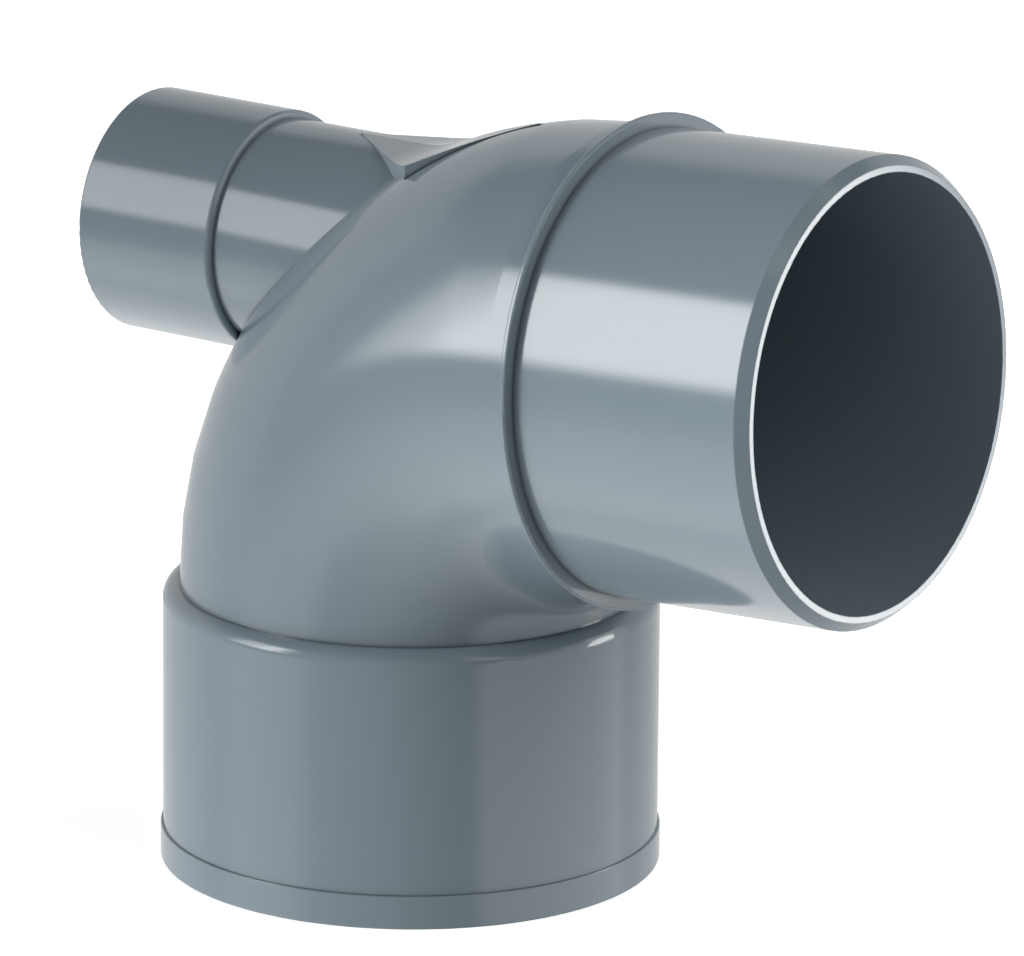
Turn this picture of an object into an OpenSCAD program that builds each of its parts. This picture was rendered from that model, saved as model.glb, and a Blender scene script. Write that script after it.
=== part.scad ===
// Drain elbow of 87.5 degrees for a 110 mm pipe, moulded in one piece with a 50 mm branch on its back.
// Lengths are in millimetres and angles in degrees.
// The origin is the centre of the main socket's mouth, and +Z runs up the socket's axis.
// The spigot leaves towards +X and the branch towards -X.

/* [Pipes] */
// Outside diameter of the main pipe, and of the spigot
pipe_d = 110; // [100:0.5:120]
// Outside diameter of the pipe that the branch takes
branch_pipe_d = 50; // [40:0.5:54]
// How much wider than its pipe each socket's bore is
pipe_gap = 0.4; // [0.2:0.1:1]

/* [Main socket] */
// Depth of the main socket, from its mouth to the pipe stop
socket_depth = 61; // [40:1:80]
// Wall of the main socket
socket_wall = 4.2; // [3.6:0.1:6]
// Height of the main socket's shoulder above its pipe stop
shoulder_rise = 6.7; // [5:0.1:10]
// Radius of the main socket's rounded shoulder
shoulder_r = 3.5; // [1:0.1:4]
// Height of the raised lip round the main socket's mouth
lip_h = 8.2; // [4:0.1:14]
// How far the lip stands out of the main socket
lip_t = 0.6; // [0.3:0.1:2]

/* [Bend] */
// Angle that the flow turns through
bend_angle = 87.5; // [80:0.5:92]
// Radius of the bend's centre line
bend_r = 63.8; // [62:0.1:75]
// Height of the start of the bend above the main socket's shoulder
neck_h = 1.3; // [0.5:0.1:10]
// Wall of the bend
bend_wall = 4.2; // [3.4:0.1:5]

/* [Spigot] */
// Wall of the spigot
spigot_wall = 3.8; // [3:0.1:4.6]
// Length of the spigot, from the front of its collar to its end face
spigot_len = 63.9; // [45:0.1:90]
// Length along the axis of the chamfer at the spigot's end
chamfer_len = 2.8; // [1:0.1:6]
// Depth across the radius of the chamfer at the spigot's end
chamfer_depth = 2.2; // [0.5:0.1:2.4]
// How far the collar stands out of the spigot
collar_rise = 3.35; // [1.6:0.05:7]
// Thickness of the collar
collar_t = 1.5; // [1.2:0.1:4]
// Distance from the end of the bend to the back of the collar
collar_setback = 6.5; // [2:0.1:15]

/* [Branch] */
// Height of the branch's axis above the start of the bend
branch_rise = 78.7; // [75:0.1:81]
// Distance from the main axis to the branch's mouth
branch_reach = 78; // [74:0.1:110]
// Depth of the branch socket
branch_socket_depth = 36; // [20:1:37]
// Length of the branch socket's thick sleeve past its pipe stop
branch_sleeve_extra = 3.1; // [2:0.1:6]
// Wall of the branch socket
branch_socket_wall = 4; // [3.4:0.1:6]
// Width of the ledge that stops the pipe in the branch socket
branch_stop_w = 1.9; // [1:0.1:4]
// Wall of the branch tube between the sleeve and the bend
branch_tube_wall = 4; // [3:0.1:5]
// Radius on the sleeve's inner end, beside the branch tube
sleeve_r = 1.2; // [0.3:0.1:1.4]
// Lead-in chamfer inside the branch socket's mouth
lead_in = 1.2; // [0.4:0.1:2]

/* [Gusset] */
// Distance from the main axis to the gusset's tip on the branch
gusset_back = 15.8; // [10:0.1:24]
// Distance from the main axis to the gusset's tip on the bend
gusset_front = 36.5; // [30:0.1:44]
// Distance from the main axis to the gusset's widest place
gusset_peak = 12; // [8:0.1:16]
// Half of the gusset's width at its widest place
gusset_half_w = 20; // [14:0.1:22]
// How far the gusset's top stands out of the branch and the bend
gusset_rise = 0.3; // [0.2:0.1:1]
// Draft of the gusset's top, which falls away to both sides of the middle
gusset_draft = 4.5; // [1:0.5:6]
// Radius of the hollow sweep on the gusset's top
gusset_sweep_r = 30; // [15:1:45]
// Width of the groove at the gusset's foot on the bend
groove_w = 0.8; // [0.5:0.1:2]
// Depth of that groove
groove_depth = 0.7; // [0.3:0.1:1.6]

/* [Edges] */
// Radius on the outer edges of the mouths, the lip and the collar
edge_r = 0.5; // [0.2:0.1:0.6]

/* [Hidden] */
$fn = 128;

overlap = 1;
seam_inset = 0.1;
reach = 60;

spigot_r = pipe_d / 2;
bore_r = spigot_r - spigot_wall;
bend_outer_r = bore_r + bend_wall;
seam_r = bore_r + bend_wall / 2;
socket_bore_r = (pipe_d + pipe_gap) / 2;
socket_outer_r = socket_bore_r + socket_wall;
lip_outer_r = socket_outer_r + lip_t;
stop_slope = socket_bore_r - bore_r;
shoulder_h = socket_depth + shoulder_rise;
bend_start_h = shoulder_h + neck_h;

collar_r = spigot_r + collar_rise;
collar_front = collar_setback + collar_t;
spigot_end = collar_front + spigot_len;

branch_h = bend_start_h + branch_rise;
branch_socket_bore_r = (branch_pipe_d + pipe_gap) / 2;
branch_socket_outer_r = branch_socket_bore_r + branch_socket_wall;
branch_bore_r = branch_socket_bore_r - branch_stop_w;
branch_tube_r = branch_bore_r + branch_tube_wall;
branch_stop = branch_reach - branch_socket_depth;
sleeve_start = branch_stop - branch_sleeve_extra;
branch_inner_end = -gusset_peak;

crest_r = bend_r + bend_outer_r + gusset_rise;
gusset_top = branch_h + branch_tube_r + gusset_rise;
sweep_x = bend_r - sqrt(pow(crest_r + gusset_sweep_r, 2) - pow(gusset_top + gusset_sweep_r - bend_start_h, 2));
sweep_share = crest_r / (crest_r + gusset_sweep_r);
sweep_end = [
    bend_r + sweep_share * (sweep_x - bend_r),
    bend_start_h + sweep_share * (gusset_top + gusset_sweep_r - bend_start_h)
];
gusset_floor = branch_h + branch_bore_r / 2;

// The straight parts run into the bend by the overlap, inside its surface, so that they join at any size

// Waste outside a rounded outer corner, where dir points out of the material
module outer_round(corner, r, dir) {
    translate(corner)
        difference() {
            translate([dir.x > 0 ? -r : -overlap, dir.y > 0 ? -r : -overlap])
                square(r + overlap);
            translate([-dir.x * r, -dir.y * r])
                circle(r);
        }
}

// Triangle of waste at a chamfered corner, where dir points out of the material
module corner_chamfer(corner, across, along, dir) {
    translate(corner)
        polygon([
            [dir.x * overlap, -dir.y * along * (1 + overlap / across)],
            [dir.x * overlap, dir.y * overlap],
            [-dir.x * across * (1 + overlap / along), dir.y * overlap]
        ]);
}

// Places its children at the end of the bend, with +Z along the spigot's axis
module at_bend_end() {
    translate([bend_r, 0, bend_start_h])
        rotate([0, bend_angle, 0])
            translate([-bend_r, 0, 0])
                children();
}

// Places its children on the branch, with +Z from the main axis to the branch's mouth
module at_branch() {
    translate([0, 0, branch_h])
        rotate([0, 90, 180])
            children();
}

// Round bar of radius r bent along the centre line, with its profile's start on the inside of the bend
module bent_bar(r) {
    translate([bend_r, 0, bend_start_h])
        rotate([90, 0, 0])
            rotate([0, 0, 180 - bend_angle])
                rotate_extrude(angle = bend_angle)
                    translate([bend_r, 0])
                        rotate(180)
                            circle(r);
}

module socket_outside() {
    rotate_extrude()
        difference() {
            union() {
                square([bend_outer_r, bend_start_h]);
                square([seam_r, bend_start_h + overlap]);
                square([socket_outer_r, shoulder_h]);
                square([lip_outer_r, lip_h]);
            }
            outer_round([socket_outer_r, shoulder_h], shoulder_r, [1, 1]);
            outer_round([lip_outer_r, lip_h], min(edge_r, lip_t / 2), [1, 1]);
            outer_round([lip_outer_r, 0], edge_r, [1, -1]);
        }
}

module spigot_outside() {
    at_bend_end()
        rotate_extrude()
            difference() {
                union() {
                    square([bend_outer_r, collar_front]);
                    translate([0, -overlap])
                        square([seam_r, collar_front]);
                    translate([0, collar_setback])
                        square([collar_r, collar_t]);
                    square([spigot_r, spigot_end]);
                }
                outer_round([collar_r, collar_setback], edge_r, [1, -1]);
                outer_round([collar_r, collar_front], edge_r, [1, 1]);
                corner_chamfer([spigot_r, spigot_end], chamfer_depth, chamfer_len, [1, 1]);
            }
}

module branch_outside() {
    at_branch()
        rotate_extrude()
            difference() {
                union() {
                    translate([0, branch_inner_end])
                        square([branch_tube_r, branch_reach - branch_inner_end]);
                    translate([0, sleeve_start])
                        square([branch_socket_outer_r, branch_reach - sleeve_start]);
                }
                outer_round([branch_socket_outer_r, sleeve_start], sleeve_r, [1, -1]);
                outer_round([branch_socket_outer_r, branch_reach], edge_r, [1, 1]);
            }
}

// Outline of the gusset on the middle plane: level on the branch, then swept up onto the bend's crest
module gusset_outline() {
    union() {
        difference() {
            polygon([
                [-gusset_back - overlap, gusset_floor],
                [-gusset_back - overlap, gusset_top],
                [sweep_x, gusset_top],
                sweep_end,
                [sweep_end.x, gusset_floor]
            ]);
            translate([sweep_x, gusset_top + gusset_sweep_r])
                circle(gusset_sweep_r);
        }
        intersection() {
            translate([bend_r, bend_start_h])
                circle(crest_r);
            translate([sweep_end.x, gusset_floor])
                square([gusset_front + overlap - sweep_end.x, reach]);
        }
    }
}

module gusset_half() {
    intersection() {
        translate([0, 0, gusset_floor])
            linear_extrude(reach)
                polygon([[-gusset_back, 0], [gusset_peak, -gusset_half_w], [gusset_front, 0]]);
        translate([0, 0, gusset_top])
            rotate([gusset_draft, 0, 0])
                translate([0, overlap, -gusset_top])
                    rotate([90, 0, 0])
                        linear_extrude(gusset_half_w + 2 * overlap)
                            gusset_outline();
    }
}

// Groove of even depth at the gusset's foot on the bend, a chevron in plan
module groove() {
    run = [gusset_front - gusset_peak, gusset_half_w];
    side = groove_w / norm(run) * [run.y, -run.x];
    tip_shift = groove_w * norm(run) / run.y;
    difference() {
        translate([0, 0, gusset_floor])
            linear_extrude(reach)
                polygon([
                    [gusset_peak, -gusset_half_w],
                    [gusset_peak, -gusset_half_w] + side,
                    [gusset_front + tip_shift, 0],
                    [gusset_peak + side.x, gusset_half_w - side.y],
                    [gusset_peak, gusset_half_w],
                    [gusset_front, 0]
                ]);
        bent_bar(bend_outer_r - groove_depth);
    }
}

module socket_void() {
    rotate_extrude()
        union() {
            translate([0, -overlap])
                square([socket_bore_r, socket_depth + overlap]);
            square([bore_r, bend_start_h]);
            square([bore_r - seam_inset, bend_start_h + overlap]);
            polygon([
                [0, socket_depth],
                [socket_bore_r, socket_depth],
                [bore_r, socket_depth + stop_slope],
                [0, socket_depth + stop_slope]
            ]);
        }
}

module spigot_void() {
    at_bend_end()
        rotate_extrude()
            union() {
                square([bore_r, spigot_end + overlap]);
                translate([0, -overlap])
                    square([bore_r - seam_inset, spigot_end]);
            }
}

module branch_void() {
    at_branch()
        rotate_extrude()
            union() {
                translate([0, branch_inner_end])
                    square([branch_bore_r, branch_reach - branch_inner_end]);
                translate([0, branch_stop])
                    square([branch_socket_bore_r, branch_socket_depth + overlap]);
                polygon([
                    [0, branch_reach - lead_in],
                    [branch_socket_bore_r, branch_reach - lead_in],
                    [branch_socket_bore_r + lead_in + overlap, branch_reach + overlap],
                    [0, branch_reach + overlap]
                ]);
            }
}

// The waterway from the main socket's mouth, round the bend, to the spigot's end
module main_waterway() {
    union() {
        socket_void();
        bent_bar(bore_r);
        spigot_void();
    }
}

module elbow() {
    color("#7a868d")
        difference() {
            union() {
                socket_outside();
                bent_bar(bend_outer_r);
                spigot_outside();
                branch_outside();
                gusset_half();
                mirror([0, 1, 0])
                    gusset_half();
            }
            main_waterway();
            branch_void();
            groove();
        }
}

elbow();
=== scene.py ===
"""Looks of a grey drain elbow: its plastic, and a plain studio with the camera at the photograph's angle."""

import math

import bpy
from mathutils import Matrix, Vector

bl_info = {
    "name": "Drain elbow looks",
    "version": (1, 0, 0),
    "blender": (4, 5, 0),
    "location": "View3D > Sidebar > Elbow",
    "description": "Gives the drain elbow its glossy grey plastic and sets up the studio",
    "category": "Object",
}

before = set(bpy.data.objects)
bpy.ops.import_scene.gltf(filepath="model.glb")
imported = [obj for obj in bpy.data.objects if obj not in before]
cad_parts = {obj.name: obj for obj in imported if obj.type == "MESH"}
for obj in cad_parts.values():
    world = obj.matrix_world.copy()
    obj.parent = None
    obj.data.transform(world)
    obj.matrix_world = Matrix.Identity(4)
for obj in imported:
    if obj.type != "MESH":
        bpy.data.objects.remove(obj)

NODE = "elbow"

# The plastic's pattern and edges, and the shade painted into its inner corners and along its parting line.
# Lengths are in metres.
MOTTLE_SCALE = 22.0
GRAIN_SCALE = 900.0
MOTTLE_TONE = 0.03
MOTTLE_ROUGHNESS = 0.05
GRAIN_ROUGHNESS = 0.03
GRAIN_HEIGHT = 0.01
BUMP_DEPTH = 0.0004
EDGE_RADIUS = 0.0004
# Reach and depth of the shade painted into inner corners
CORNER_SHADE_REACH = 0.0016
CORNER_SHADE_TONE = 0.2
# Depth of the shade painted along the parting line
SEAM_SHADE_TONE = 0.5

# Pairs say where a change starts and ends. The fade of the painted corner shade is in shares of open
# surroundings.
# The parting line's painted shade: its start, end and height are places on the gusset's crown, and its width
# is from the middle plane.
CORNER_SHADE_FADE = (0.35, 0.85)
SEAM_START = (-0.0175, -0.0155)
SEAM_END = (0.0055, 0.0075)
SEAM_HEIGHT = (0.173, 0.174)
SEAM_WIDTH = (0.0001, 0.0003)

# The studio. Its pairs are changes over directions, apart from CARD_FADE, which is over the square of
# the distance from a card's middle. DIM_SIDE is the share of the room's light on the side away from the
# left lamp.
BACKDROP_FADE = (-0.3, 0.5)
BACKDROP_TOP_SOFTNESS = 0.1
LEFT_FADE = (-0.5, 0.4)
TABLE_FADE = (-0.9, -0.2)
DIM_SIDE = 0.2
CARD_FADE = (0.1, 0.25)
FLOOR_SIZE = 12
SHADE_DROP = 0.0005
PICTURE_SIZE = (1024, 956)

# The world's lamps: the setting with the radiance, then the left and right azimuth, the low and high
# elevation, and the softness of the sides and of the top. All are in degrees. Azimuth 0 is -Y and 90 is +X.
WORLD_LAMPS = (
    ("left_lamp", -53, -26, 5, 38, 7, 2),
    ("left_fill", -56, -14, -55, -14, 10, 10),
    ("right_lamp", 66, 150, 12, 58, 9, 9),
    ("right_fill", 94, 150, -35, 12, 9, 9),
)

# The lamps that only reflections show: the setting with the radiance, which names the lamp too, then
# the point of the object that it faces, the way from there, the distance, and its width and height.
SOFT_BOXES = (
    ("rim_lamp", (0.135, 0, 0.136), (0.5864, 0.7782, -0.225), 0.3, (0.106, 0.19)),
    ("side_lamp", (0, 0, 0.03), (0.9556, 0.1685, -0.2419), 0.35, (0.56, 0.4)),
)

# The same facts for the cloth between the left lamp and the branch
SCRIM_PLACE = ((-0.078, -0.009, 0.14), (-0.564, -0.736, 0.375), 0.25, (0.24, 0.5))


class Value:
    """A shader socket that adds, multiplies and so on with numbers and other sockets."""

    def __init__(self, tree, socket):
        self.tree = tree
        self.socket = socket

    def maths(self, operation, a, b=None, clamp=False):
        node = self.tree.nodes.new("ShaderNodeMath")
        node.operation = operation
        node.use_clamp = clamp
        for slot, value in zip(node.inputs, (a, b)):
            if isinstance(value, Value):
                self.tree.links.new(value.socket, slot)
            elif value is not None:
                slot.default_value = value
        return Value(self.tree, node.outputs[0])

    def __add__(self, other):
        return self.maths("ADD", self, other)

    def __radd__(self, other):
        return self.maths("ADD", other, self)

    def __sub__(self, other):
        return self.maths("SUBTRACT", self, other)

    def __rsub__(self, other):
        return self.maths("SUBTRACT", other, self)

    def __mul__(self, other):
        return self.maths("MULTIPLY", self, other)

    def __rmul__(self, other):
        return self.maths("MULTIPLY", other, self)

    def __truediv__(self, other):
        return self.maths("DIVIDE", self, other)

    def __rtruediv__(self, other):
        return self.maths("DIVIDE", other, self)

    def step(self, low, high):
        """0 below low and 1 above high, with a soft change between."""
        node = self.tree.nodes.new("ShaderNodeMapRange")
        node.interpolation_type = "SMOOTHSTEP"
        self.tree.links.new(self.socket, node.inputs["Value"])
        node.inputs["From Min"].default_value = low
        node.inputs["From Max"].default_value = high
        return Value(self.tree, node.outputs["Result"])


class Shader:
    """Builds a material's or the world's node tree."""

    def __init__(self, owner):
        owner.use_nodes = True
        self.tree = owner.node_tree
        self.tree.nodes.clear()

    def node(self, kind, inputs=None, **settings):
        """Adds a node of the kind, sets its properties and fills its inputs with constants or sockets."""
        node = self.tree.nodes.new(kind)
        for name, value in settings.items():
            setattr(node, name, value)
        for name, value in (inputs or {}).items():
            if isinstance(value, Value):
                self.tree.links.new(value.socket, node.inputs[name])
            elif isinstance(value, bpy.types.NodeSocket):
                self.tree.links.new(value, node.inputs[name])
            else:
                node.inputs[name].default_value = value
        return node

    def value(self, socket):
        return Value(self.tree, socket)


def scaled(colour, share):
    """The colour times the share, opaque."""
    return (*(share * part for part in colour), 1.0)


def pvc_material(s):
    """Glossy grey moulded plastic, with painted shade in its inner corners and along the parting line."""
    material = bpy.data.materials.new("grey_pvc")
    sh = Shader(material)
    place = sh.node("ShaderNodeTexCoord").outputs["Object"]
    waves = sh.node(
        "ShaderNodeTexNoise",
        {"Vector": place, "Scale": MOTTLE_SCALE, "Detail": 2.0, "Roughness": 0.4},
    )
    fine = sh.node(
        "ShaderNodeTexNoise",
        {"Vector": place, "Scale": GRAIN_SCALE, "Detail": 3.0, "Roughness": 0.6},
    )
    mottle = sh.value(waves.outputs["Fac"])
    grain = sh.value(fine.outputs["Fac"])
    rough = s.roughness + (mottle - 0.5) * MOTTLE_ROUGHNESS + (grain - 0.5) * GRAIN_ROUGHNESS
    tone = sh.node(
        "ShaderNodeMix",
        {
            "Factor": mottle,
            "A": scaled(s.colour, 1 - MOTTLE_TONE),
            "B": scaled(s.colour, 1 + MOTTLE_TONE),
        },
        data_type="RGBA",
    )

    # Painted shade along the parting line, on the gusset's crown only
    axes = sh.node("ShaderNodeSeparateXYZ", {"Vector": place})
    x, y, z = (sh.value(axes.outputs[axis]) for axis in ("X", "Y", "Z"))
    along = x.step(*SEAM_START) * (1.0 - x.step(*SEAM_END)) * z.step(*SEAM_HEIGHT)
    seam_shade = (1.0 - y.maths("ABSOLUTE", y).step(*SEAM_WIDTH)) * along
    # Painted shade: the colour darkens in inner corners, where little of the surroundings is open
    near = sh.node("ShaderNodeAmbientOcclusion", {"Distance": CORNER_SHADE_REACH}, samples=6)
    clear = sh.value(near.outputs["AO"]).step(*CORNER_SHADE_FADE)
    shaded = sh.node(
        "ShaderNodeMix",
        {
            "Factor": clear * (1.0 - seam_shade * SEAM_SHADE_TONE),
            "A": scaled(s.colour, CORNER_SHADE_TONE),
            "B": tone.outputs["Result"],
        },
        data_type="RGBA",
    )

    edge = sh.node("ShaderNodeBevel", {"Radius": EDGE_RADIUS}, samples=4)
    bump = sh.node(
        "ShaderNodeBump",
        {
            "Height": mottle + grain * GRAIN_HEIGHT,
            "Strength": s.bump,
            "Distance": BUMP_DEPTH,
            "Normal": edge.outputs["Normal"],
        },
    )
    surface = sh.node(
        "ShaderNodeBsdfPrincipled",
        {
            "Base Color": shaded.outputs["Result"],
            "Roughness": rough,
            "IOR": 1.5,
            "Normal": bump.outputs["Normal"],
        },
    )
    sh.node("ShaderNodeOutputMaterial", {"Surface": surface.outputs["BSDF"]})
    return material


def world_shader(s):
    """White to the camera. To the object: a pale backdrop, a dim room and ceiling, a table and lamps."""
    world = bpy.data.worlds.new("studio")
    bpy.context.scene.world = world
    sh = Shader(world)
    way = sh.node("ShaderNodeSeparateXYZ", {"Vector": sh.node("ShaderNodeTexCoord").outputs["Generated"]})
    x, y, z = (sh.value(way.outputs[axis]) for axis in ("X", "Y", "Z"))
    azimuth = x.maths("ARCTAN2", x, y * -1.0)
    elevation = z.maths("ARCSINE", z)

    def panel(*edges):
        """1 inside a box of directions and 0 outside, with soft edges. WORLD_LAMPS gives the order."""
        left, right, low, high, soft, soft_top = (math.radians(edge) for edge in edges)
        inside = azimuth.step(left - soft, left + soft) * (1.0 - azimuth.step(right - soft, right + soft))
        bottom = elevation.step(low - soft / 2, low + soft / 2)
        return inside * bottom * (1.0 - elevation.step(high - soft_top, high + soft_top))

    behind = (y * math.cos(s.azimuth) - x * math.sin(s.azimuth)).step(*BACKDROP_FADE)
    top, soft_top = s.backdrop_top, BACKDROP_TOP_SOFTNESS
    below_top = 1.0 - elevation.step(top - soft_top, top + soft_top)
    left_side = (x * -0.8 - y * 0.6).step(*LEFT_FADE)
    room = s.front * (DIM_SIDE + (1 - DIM_SIDE) * left_side)
    table = (1.0 - elevation.step(*TABLE_FADE)) * left_side
    glow = s.ceiling + (room + (s.backdrop - room) * behind) * below_top + table * s.table
    for name, *edges in WORLD_LAMPS:
        glow = glow + panel(*edges) * getattr(s, name)
    seen = sh.value(sh.node("ShaderNodeLightPath").outputs["Is Camera Ray"])
    lit = sh.node("ShaderNodeBackground", {"Strength": glow})
    white = sh.node("ShaderNodeBackground", {"Strength": 1.0})
    mixed = sh.node("ShaderNodeMixShader", {"Fac": seen})
    sh.tree.links.new(lit.outputs[0], mixed.inputs[1])
    sh.tree.links.new(white.outputs[0], mixed.inputs[2])
    sh.node("ShaderNodeOutputWorld", {"Surface": mixed.outputs[0]})


def floor_material(s):
    """Pale floor that the camera sees as white, apart from the object's shadow."""
    material = bpy.data.materials.new("floor")
    sh = Shader(material)
    seen = sh.value(sh.node("ShaderNodeLightPath").outputs["Is Camera Ray"])
    lift = sh.node(
        "ShaderNodeMix",
        {"Factor": seen, "A": scaled((1, 1, 1), 0), "B": scaled((1, 1, 1), s.floor_lift)},
        data_type="RGBA",
    )
    surface = sh.node(
        "ShaderNodeBsdfPrincipled",
        {
            "Base Color": (0.8, 0.8, 0.8, 1.0),
            "Roughness": 1.0,
            "Specular IOR Level": 0.0,
            "Emission Color": lift.outputs["Result"],
            "Emission Strength": 1.0,
        },
    )
    sh.node("ShaderNodeOutputMaterial", {"Surface": surface.outputs["BSDF"]})
    return material


def card_material(name, surface, inputs):
    """Lamp front or cloth, round on its card, that fades out towards its edge."""
    material = bpy.data.materials.new(name)
    sh = Shader(material)
    axes = sh.node("ShaderNodeSeparateXYZ", {"Vector": sh.node("ShaderNodeTexCoord").outputs["Object"]})
    across, up = (sh.value(axes.outputs[axis]) for axis in ("X", "Y"))
    mask = 1.0 - (across * across + up * up).step(*CARD_FADE)
    clear = sh.node("ShaderNodeBsdfTransparent")
    full = sh.node(surface, inputs)
    card = sh.node("ShaderNodeMixShader", {"Fac": mask})
    sh.tree.links.new(clear.outputs["BSDF"], card.inputs[1])
    sh.tree.links.new(full.outputs[0], card.inputs[2])
    sh.node("ShaderNodeOutputMaterial", {"Surface": card.outputs["Shader"]})
    return material


def shade_material():
    """Dark floor under the main socket, where no light comes."""
    material = bpy.data.materials.new("shade")
    sh = Shader(material)
    surface = sh.node("ShaderNodeBsdfDiffuse", {"Color": (0.05, 0.05, 0.05, 1.0)})
    sh.node("ShaderNodeOutputMaterial", {"Surface": surface.outputs["BSDF"]})
    return material


class PlasticSettings(bpy.types.PropertyGroup):
    """How the plastic looks."""

    colour: bpy.props.FloatVectorProperty(
        name="Colour",
        description="Colour of the plastic",
        subtype="COLOR",
        size=3,
        min=0,
        max=1,
        default=(0.214, 0.27, 0.308),
    )
    roughness: bpy.props.FloatProperty(
        name="Roughness",
        description="Roughness of the moulded surface",
        default=0.12,
        min=0.02,
        max=1,
    )
    bump: bpy.props.FloatProperty(
        name="Waviness",
        description="Strength of the surface's slight waviness",
        default=0.1,
        min=0,
        max=1,
    )


class StudioSettings(bpy.types.PropertyGroup):
    """Camera, lamps and floor."""

    azimuth: bpy.props.FloatProperty(
        name="Camera azimuth",
        description="Direction of the camera round the object",
        unit="ROTATION",
        default=math.radians(35.849),
    )
    elevation: bpy.props.FloatProperty(
        name="Camera elevation",
        description="Height of the camera above the horizon",
        unit="ROTATION",
        default=math.radians(15.757),
    )
    roll: bpy.props.FloatProperty(
        name="Camera roll",
        description="Turn of the camera about its own axis",
        unit="ROTATION",
        default=math.radians(0.513),
    )
    distance: bpy.props.FloatProperty(
        name="Camera distance",
        description="From the camera to the point it looks at",
        unit="LENGTH",
        default=2.14824,
    )
    target: bpy.props.FloatVectorProperty(
        name="Target",
        description="Point in the middle of the picture",
        unit="LENGTH",
        size=3,
        default=(0.023778, 0.007568, 0.095607),
    )
    lens: bpy.props.FloatProperty(
        name="Lens",
        description="Focal length for a sensor 36 mm wide",
        unit="CAMERA",
        default=318.59,
    )
    shade_radius: bpy.props.FloatProperty(
        name="Shade radius",
        description="Radius of the dark floor under the main socket",
        unit="LENGTH",
        default=0.06,
    )
    backdrop_top: bpy.props.FloatProperty(
        name="Backdrop top",
        description="How high the white backdrop reaches",
        unit="ROTATION",
        default=math.radians(37),
    )
    backdrop: bpy.props.FloatProperty(
        name="Backdrop", description="Brightness of the backdrop", default=0.9, min=0
    )
    front: bpy.props.FloatProperty(
        name="Front", description="Brightness of the room behind the camera", default=0.45, min=0
    )
    ceiling: bpy.props.FloatProperty(
        name="Ceiling", description="Brightness of the ceiling", default=0.02, min=0
    )
    left_lamp: bpy.props.FloatProperty(
        name="Left lamp", description="Radiance of the left soft box", default=11.8, min=0
    )
    left_fill: bpy.props.FloatProperty(
        name="Left fill", description="Radiance of the left fill near the floor", default=1.3, min=0
    )
    right_lamp: bpy.props.FloatProperty(
        name="Right lamp", description="Radiance of the right soft box", default=2.0, min=0
    )
    right_fill: bpy.props.FloatProperty(
        name="Right fill",
        description="Radiance of the right fill near the floor",
        default=1.3,
        min=0,
    )
    scrim: bpy.props.FloatProperty(
        name="Scrim",
        description="Share of the light that the card lets through",
        default=0.5,
        min=0,
        max=1,
    )
    side_lamp: bpy.props.FloatProperty(
        name="Side lamp",
        description="Radiance of the low lamp at the object's right",
        default=1.2,
        min=0,
    )
    rim_lamp: bpy.props.FloatProperty(
        name="Rim lamp",
        description="Radiance of the low lamp behind the spigot",
        default=9.0,
        min=0,
    )
    table: bpy.props.FloatProperty(
        name="Table", description="Brightness of the table under the object", default=1.2, min=0
    )
    floor_lift: bpy.props.FloatProperty(
        name="Floor lift",
        description="Light that the camera sees on the floor beside what the lamps give",
        default=0.7,
        min=0,
    )


class OBJECT_OT_elbow_plastic(bpy.types.Operator):
    """Gives the elbow its plastic"""

    bl_idname = "object.elbow_plastic"
    bl_label = "Elbow plastic"

    def execute(self, context):
        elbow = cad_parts[NODE]
        elbow.data.materials.clear()
        elbow.data.materials.append(pvc_material(context.scene.elbow_plastic))
        return {"FINISHED"}


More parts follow.
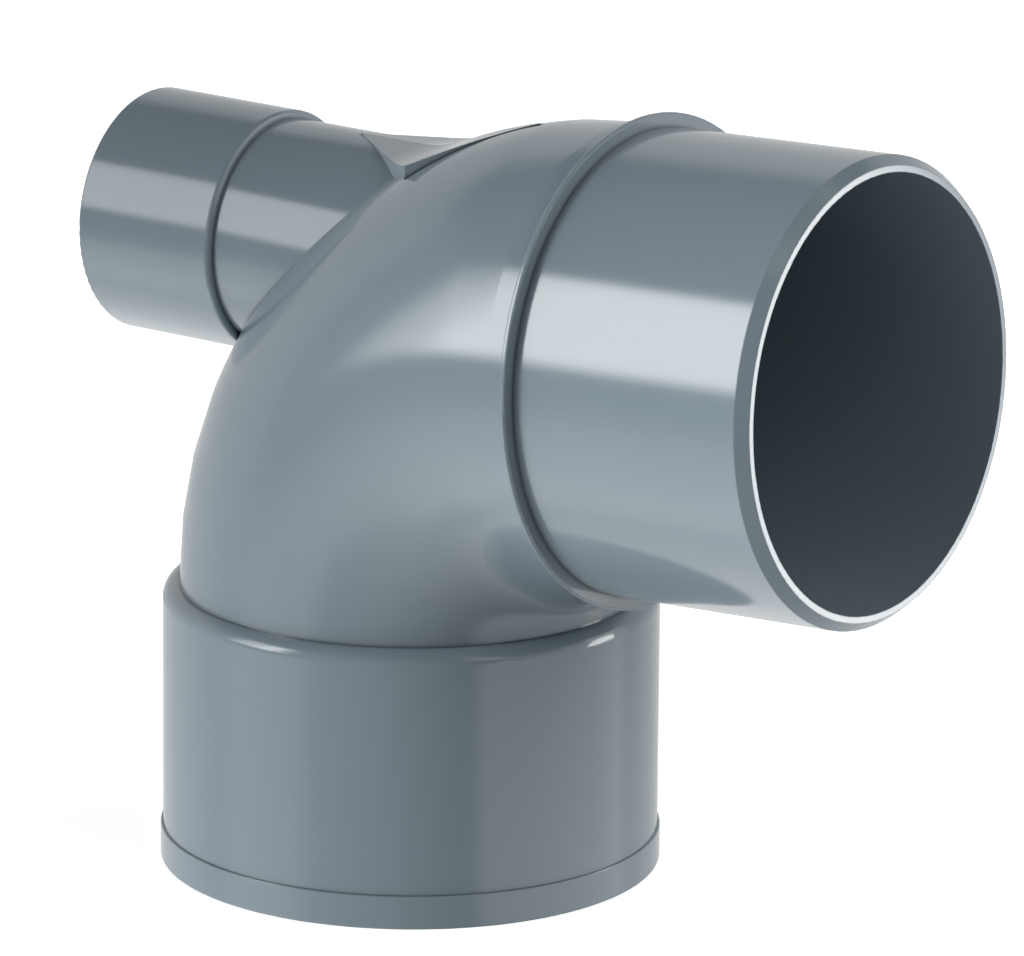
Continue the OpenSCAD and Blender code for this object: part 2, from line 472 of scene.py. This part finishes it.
class SCENE_OT_elbow_studio(bpy.types.Operator):
    """Sets up the floor, the soft boxes, the camera and the render"""

    bl_idname = "scene.elbow_studio"
    bl_label = "Elbow studio"

    def execute(self, context):
        s = context.scene.elbow_studio
        bpy.ops.mesh.primitive_plane_add(size=FLOOR_SIZE)
        floor = context.active_object
        floor.name = "floor"
        floor.data.materials.append(floor_material(s))
        # Only the camera sees the floor, because the world's table lights the object instead
        for sense in ("glossy", "diffuse", "shadow", "transmission"):
            setattr(floor, "visible_" + sense, False)
        world_shader(s)
        under = (0, 0, -SHADE_DROP)
        bpy.ops.mesh.primitive_circle_add(radius=s.shade_radius, fill_type="NGON", location=under)
        shade = context.active_object
        shade.name = "shade"
        shade.data.materials.append(shade_material())
        shade.visible_camera = False
        self.cards(context, s)
        self.camera(context, s)
        scene = context.scene
        scene.render.engine = "CYCLES"
        scene.render.resolution_x, scene.render.resolution_y = PICTURE_SIZE
        scene.view_settings.view_transform = "Standard"
        scene.cycles.samples = 96
        scene.cycles.use_denoising = True
        return {"FINISHED"}

    def card(self, context, material, point, way, distance, size):
        """Card that the camera doesn't see, and that faces a point of the object from a distance."""
        way = Vector(way).normalized()
        middle = Vector(point) + way * distance
        turn = way.to_track_quat("-Z", "Y").to_euler()
        bpy.ops.mesh.primitive_plane_add(size=1, location=middle, rotation=turn)
        card = context.active_object
        card.name = material.name
        card.scale = (size[0], size[1], 1)
        card.data.materials.append(material)
        card.visible_camera = False
        return card

    def cards(self, context, s):
        """Two lamps that only reflections show, and a cloth that dims the left lamp for the branch."""
        for name, *place in SOFT_BOXES:
            light = card_material(name, "ShaderNodeEmission", {"Strength": getattr(s, name)})
            lamp = self.card(context, light, *place)
            lamp.visible_shadow = lamp.visible_diffuse = False
        cloth = card_material("scrim", "ShaderNodeBsdfTransparent", {"Color": scaled((1, 1, 1), s.scrim)})
        self.card(context, cloth, *SCRIM_PLACE)

    def camera(self, context, s):
        """Camera at the photograph's angle. Back, right and up are its own axes."""
        back = Vector(
            (
                math.sin(s.azimuth) * math.cos(s.elevation),
                -math.cos(s.azimuth) * math.cos(s.elevation),
                math.sin(s.elevation),
            )
        )
        level = Vector((math.cos(s.azimuth), math.sin(s.azimuth), 0))
        plumb = back.cross(level)
        right = level * math.cos(s.roll) + plumb * math.sin(s.roll)
        up = back.cross(right)
        data = bpy.data.cameras.new("camera")
        data.sensor_width = 36
        data.lens = s.lens
        data.clip_start, data.clip_end = 0.1, 50
        camera = bpy.data.objects.new("camera", data)
        turn = Matrix((right, up, back)).transposed().to_4x4()
        camera.matrix_world = Matrix.Translation(Vector(s.target) + back * s.distance) @ turn
        context.scene.collection.objects.link(camera)
        context.scene.camera = camera


class VIEW3D_PT_elbow(bpy.types.Panel):
    """Settings of the elbow's plastic and studio"""

    bl_label = "Drain elbow"
    bl_space_type = "VIEW_3D"
    bl_region_type = "UI"
    bl_category = "Elbow"

    def draw(self, context):
        for settings in (context.scene.elbow_plastic, context.scene.elbow_studio):
            box = self.layout.box()
            for name in settings.__annotations__:
                box.prop(settings, name)
        self.layout.operator("object.elbow_plastic")
        self.layout.operator("scene.elbow_studio")


CLASSES = (PlasticSettings, StudioSettings, OBJECT_OT_elbow_plastic, SCENE_OT_elbow_studio, VIEW3D_PT_elbow)


def register():
    for c in CLASSES:
        bpy.utils.register_class(c)
    bpy.types.Scene.elbow_plastic = bpy.props.PointerProperty(type=PlasticSettings)
    bpy.types.Scene.elbow_studio = bpy.props.PointerProperty(type=StudioSettings)


def unregister():
    del bpy.types.Scene.elbow_studio
    del bpy.types.Scene.elbow_plastic
    for c in reversed(CLASSES):
        bpy.utils.unregister_class(c)


def main():
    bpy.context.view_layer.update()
    register()
    bpy.ops.object.elbow_plastic()
    bpy.ops.scene.elbow_studio()


if __name__ == "__main__":
    main()
